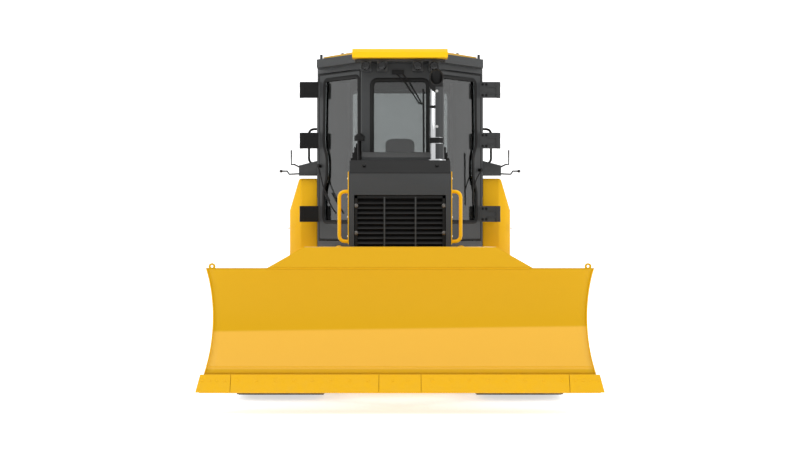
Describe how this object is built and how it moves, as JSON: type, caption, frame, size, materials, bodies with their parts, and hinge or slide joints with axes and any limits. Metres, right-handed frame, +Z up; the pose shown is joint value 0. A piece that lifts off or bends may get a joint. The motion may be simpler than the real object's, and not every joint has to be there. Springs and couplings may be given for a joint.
{
  "type": "crawler bulldozer",
  "caption": "Crawler bulldozer with enclosed cab, power-angle-tilt blade on a push frame, hydraulic cylinders, opening cab and engine doors.",
  "frame": {"origin": "on the ground at the middle of the machine's length and width", "axes": "+Z up, the blade faces -Y, +X is the machine's left side"},
  "size_m": [3.3, 4.8559, 3.175],
  "materials": {
    "yellow_paint": "semi-gloss machine paint, lightly rubbed at edges",
    "track_steel": "forged and rolled steel, worn bright on grousers",
    "grey_paint": "satin dark grey paint",
    "black_paint": "satin black paint",
    "chrome": "polished hard chrome",
    "tinted_glass": "grey tinted safety glass",
    "seat_fabric": "dark woven seat cloth"
  },
  "bodies": {
    "chassis": {"main_frame": "yellow_paint", "engine": "track_steel", "radiator": "black_paint", "radiator_guard": "grey_paint", "grille": "black_paint", "hood": "grey_paint", "engine_bay": "grey_paint", "exhaust_stack": "chrome", "intake_cap": "black_paint", "deck": "yellow_paint", "fuel_tank": "yellow_paint", "drawbar": "yellow_paint", "cab_frame": "grey_paint", "windscreen": "tinted_glass", "rear_window": "tinted_glass", "roof_frame": "grey_paint", "roof_cap": "yellow_paint", "seat": "seat_fabric", "dashboard": "black_paint", "track_frame_left": "yellow_paint", "track_frame_right": "yellow_paint", "track_left": "track_steel", "track_right": "track_steel", "bottom_rollers_left": "track_steel", "bottom_rollers_right": "track_steel", "idler_left": "track_steel", "idler_right": "track_steel", "sprocket_left": "track_steel", "sprocket_right": "track_steel", "hand_rail_left": "yellow_paint", "hand_rail_right": "yellow_paint", "side_tank_left": "yellow_paint", "side_tank_right": "yellow_paint", "side_window_left": "tinted_glass", "side_window_right": "tinted_glass", "grab_handle_left": "black_paint", "grab_handle_right": "black_paint"},
    "cab_door_left": {"door_left": "grey_paint", "door_glass_left": "tinted_glass"},
    "cab_door_right": {"door_right": "grey_paint", "door_glass_right": "tinted_glass"},
    "engine_door_left": {"engine_door_left": "yellow_paint"},
    "engine_door_right": {"engine_door_right": "yellow_paint"},
    "push_frame": {"push_frame": "yellow_paint"},
    "yoke": {"yoke": "yellow_paint"},
    "blade": {"blade": "yellow_paint", "cutting_edge": "yellow_paint"},
    "lift_left_barrel": {"lift_left_barrel": "yellow_paint"},
    "lift_left_rod": {"lift_left_rod": "chrome"},
    "lift_right_barrel": {"lift_right_barrel": "yellow_paint"},
    "lift_right_rod": {"lift_right_rod": "chrome"},
    "angle_left_barrel": {"angle_left_barrel": "yellow_paint"},
    "angle_left_rod": {"angle_left_rod": "chrome"},
    "angle_right_barrel": {"angle_right_barrel": "yellow_paint"},
    "angle_right_rod": {"angle_right_rod": "chrome"},
    "tilt_barrel": {"tilt_barrel": "yellow_paint"},
    "tilt_rod": {"tilt_rod": "chrome"}
  },
  "joints": [
    {"name": "blade_lift", "type": "hinge", "parent": "chassis", "child": "push_frame", "pos_m": [0, -0.1, 0.5], "axis": [-1, 0, 0], "range_deg": [-10, 18]},
    {"name": "blade_angle", "type": "hinge", "parent": "push_frame", "child": "yoke", "pos_m": [0, -1.8, 0.5], "axis": [0, 0, 1], "range_deg": [-20, 20]},
    {"name": "blade_tilt", "type": "hinge", "parent": "yoke", "child": "blade", "pos_m": [0, -2.02, 0.5], "axis": [0, 1, 0], "range_deg": [-8, 8]},
    {"name": "cab_door_left_open", "type": "hinge", "parent": "chassis", "child": "cab_door_left", "pos_m": [0.955, 0.42, 2.2], "axis": [0, 0, -1], "range_deg": [-150, 0]},
    {"name": "cab_door_right_open", "type": "hinge", "parent": "chassis", "child": "cab_door_right", "pos_m": [-0.955, 0.42, 2.2], "axis": [0, 0, 1], "range_deg": [-150, 0]},
    {"name": "engine_door_left_open", "type": "hinge", "parent": "chassis", "child": "engine_door_left", "pos_m": [0.448, -1.002, 1.69], "axis": [0, 0, 1], "range_deg": [-90, 0]},
    {"name": "engine_door_right_open", "type": "hinge", "parent": "chassis", "child": "engine_door_right", "pos_m": [-0.448, -1.002, 1.69], "axis": [0, 0, -1], "range_deg": [-90, 0]},
    {"name": "lift_left_swing", "type": "hinge", "parent": "chassis", "child": "lift_left_barrel", "pos_m": [0.565, -0.52, 1.1], "axis": [-1, 0, 0], "range_deg": [-10.48, 18.46]},
    {"name": "lift_left_stroke", "type": "slide", "parent": "lift_left_barrel", "child": "lift_left_rod", "axis": [0, -0.7546, -0.6562], "range_m": [-0.23097, 0.12921]},
    {"name": "lift_right_swing", "type": "hinge", "parent": "chassis", "child": "lift_right_barrel", "pos_m": [-0.565, -0.52, 1.1], "axis": [-1, 0, 0], "range_deg": [-10.48, 18.46]},
    {"name": "lift_right_stroke", "type": "slide", "parent": "lift_right_barrel", "child": "lift_right_rod", "axis": [0, -0.7546, -0.6562], "range_m": [-0.23097, 0.12921]},
    {"name": "angle_left_swing", "type": "hinge", "parent": "push_frame", "child": "angle_left_barrel", "pos_m": [0.565, -1.16, 0.69], "axis": [0, 0, 1], "range_deg": [-1.53, 1.53]},
    {"name": "angle_left_stroke", "type": "slide", "parent": "angle_left_barrel", "child": "angle_left_rod", "axis": [-0.2648, -0.9643, 0], "range_m": [-0.13115, 0.13115]},
    {"name": "angle_right_swing", "type": "hinge", "parent": "push_frame", "child": "angle_right_barrel", "pos_m": [-0.565, -1.16, 0.69], "axis": [0, 0, 1], "range_deg": [-1.53, 1.53]},
    {"name": "angle_right_stroke", "type": "slide", "parent": "angle_right_barrel", "child": "angle_right_rod", "axis": [0.2648, -0.9643, 0], "range_m": [-0.13115, 0.13115]},
    {"name": "tilt_swing", "type": "hinge", "parent": "yoke", "child": "tilt_barrel", "pos_m": [-0.36, -1.93, 0.95], "axis": [0, 1, 0], "range_deg": [-4.13, 4.13]},
    {"name": "tilt_stroke", "type": "slide", "parent": "tilt_barrel", "child": "tilt_rod", "axis": [1, 0, 0], "range_m": [-0.0648, 0.0648]}
  ],
  "couplings": [
    {"joint": "lift_left_swing", "follows": "blade_lift", "ratio": 0.99784},
    {"joint": "lift_left_stroke", "follows": "blade_lift", "m_per_rad": -0.72885},
    {"joint": "lift_right_swing", "follows": "blade_lift", "ratio": 0.99784},
    {"joint": "lift_right_stroke", "follows": "blade_lift", "m_per_rad": -0.72885},
    {"joint": "angle_left_swing", "follows": "blade_angle", "ratio": -0.05129},
    {"joint": "angle_left_stroke", "follows": "blade_angle", "m_per_rad": -0.36998},
    {"joint": "angle_right_swing", "follows": "blade_angle", "ratio": -0.05129},
    {"joint": "angle_right_stroke", "follows": "blade_angle", "m_per_rad": 0.36998},
    {"joint": "tilt_swing", "follows": "blade_tilt", "ratio": 0.45424},
    {"joint": "tilt_stroke", "follows": "blade_tilt", "m_per_rad": 0.44977}
  ]
}
